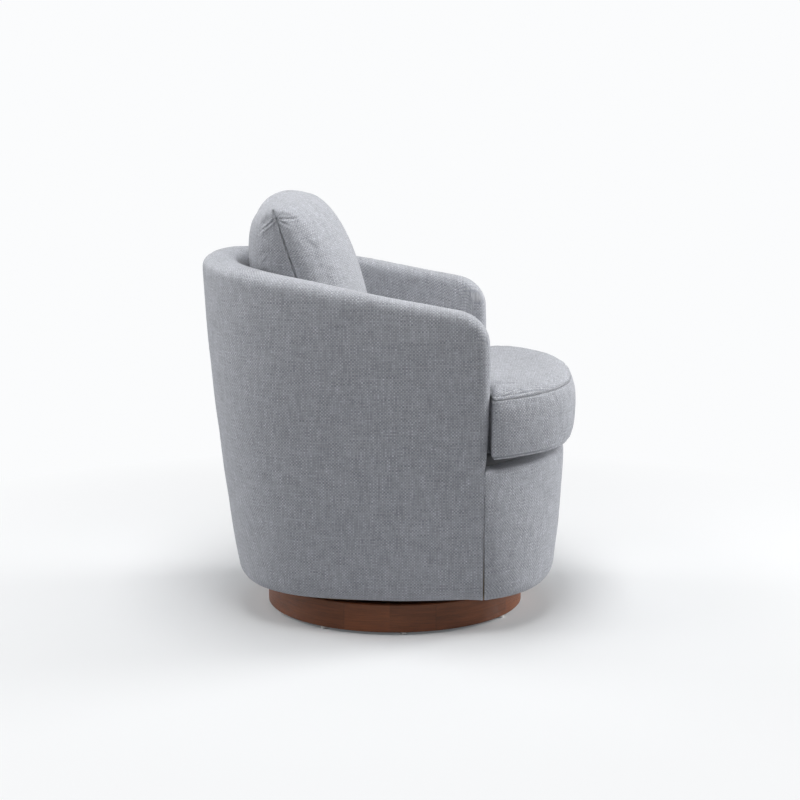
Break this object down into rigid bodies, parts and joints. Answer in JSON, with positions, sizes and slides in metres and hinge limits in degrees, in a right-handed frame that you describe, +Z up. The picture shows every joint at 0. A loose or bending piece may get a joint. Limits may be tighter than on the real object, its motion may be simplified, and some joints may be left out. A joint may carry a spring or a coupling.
{
  "type": "swivel barrel chair",
  "caption": "Upholstered barrel chair: a tapered round tub with a rolled rim, a bowed front, a loose boxed seat cushion and a back pillow, turning on a ball-bearing swivel over a round plinth.",
  "frame": {"origin": "on the swivel axis at floor level, under the middle of the plinth", "axes": "+Z up along the swivel axis, the chair faces -Y, the sitter's left arm is on +X"},
  "size_m": [0.698, 0.7021, 0.7975],
  "materials": {
    "walnut": "satin walnut veneer, grain round the ring",
    "glide_plastic": "white nylon",
    "plywood": "raw birch plywood",
    "frame_wood": "raw sawn hardwood",
    "swivel_steel": "zinc-plated pressed steel",
    "ball_steel": "polished bearing balls in a bright cage",
    "zinc_steel": "bright zinc",
    "black_cloth": "thin black non-woven cloth",
    "webbing": "woven elastic webbing",
    "deck_cloth": "plain grey platform cloth over foam",
    "zip_tape": "nylon coil zip on grey tape",
    "linen_fabric": "pale blue-grey linen-look weave with slubs",
    "seat_fabric": "pale blue-grey linen-look weave, boxed cushion with stitched seams",
    "pillow_fabric": "pale blue-grey linen-look weave, feather-filled pillow"
  },
  "bodies": {
    "base": {"plinth_ring": "walnut", "plinth_deck": "plywood", "glide_1": "glide_plastic", "glide_2": "glide_plastic", "glide_3": "glide_plastic", "glide_4": "glide_plastic", "glide_5": "glide_plastic", "glide_6": "glide_plastic", "glide_7": "glide_plastic", "glide_8": "glide_plastic", "swivel_lower_plate": "swivel_steel", "swivel_ball_ring": "ball_steel", "swivel_pivot": "swivel_steel", "lower_screws": "zinc_steel"},
    "chair": {"swivel_upper_plate": "swivel_steel", "upper_bolts": "zinc_steel", "tee_nuts": "zinc_steel", "bottom_board": "plywood", "dust_cover": "black_cloth", "front_post_left": "frame_wood", "front_post_right": "frame_wood", "side_rib_left": "frame_wood", "side_rib_right": "frame_wood", "corner_rib_left": "frame_wood", "corner_rib_right": "frame_wood", "back_rib_left": "frame_wood", "back_rib_right": "frame_wood", "front_board": "plywood", "front_cleat": "frame_wood", "seat_rail": "frame_wood", "top_rail": "frame_wood", "webbing_long": "webbing", "webbing_cross": "webbing", "deck_pad": "deck_cloth", "outer_back": "linen_fabric", "outer_side_left": "linen_fabric", "outer_side_right": "linen_fabric", "front_panel": "linen_fabric", "inner_back": "linen_fabric", "inner_side_left": "linen_fabric", "inner_side_right": "linen_fabric", "rim_back_roll": "linen_fabric", "rim_left_roll": "linen_fabric", "rim_right_roll": "linen_fabric", "arm_front_left": "linen_fabric", "arm_front_right": "linen_fabric"},
    "seat": {"seat_cushion": "seat_fabric", "seat_zip": "zip_tape"},
    "pillow": {"back_pillow": "pillow_fabric", "pillow_zip": "zip_tape"}
  },
  "joints": [
    {"name": "swivel", "type": "hinge", "parent": "base", "child": "chair", "pos_m": [0, 0, 0.057], "axis": [0, 0, 1], "continuous": true},
    {"name": "seat_lift", "type": "slide", "parent": "chair", "child": "seat", "axis": [0, 0, 1], "range_m": [0, 0.3]},
    {"name": "pillow_lift", "type": "slide", "parent": "seat", "child": "pillow", "axis": [0, 0, 1], "range_m": [0, 0.2]}
  ]
}
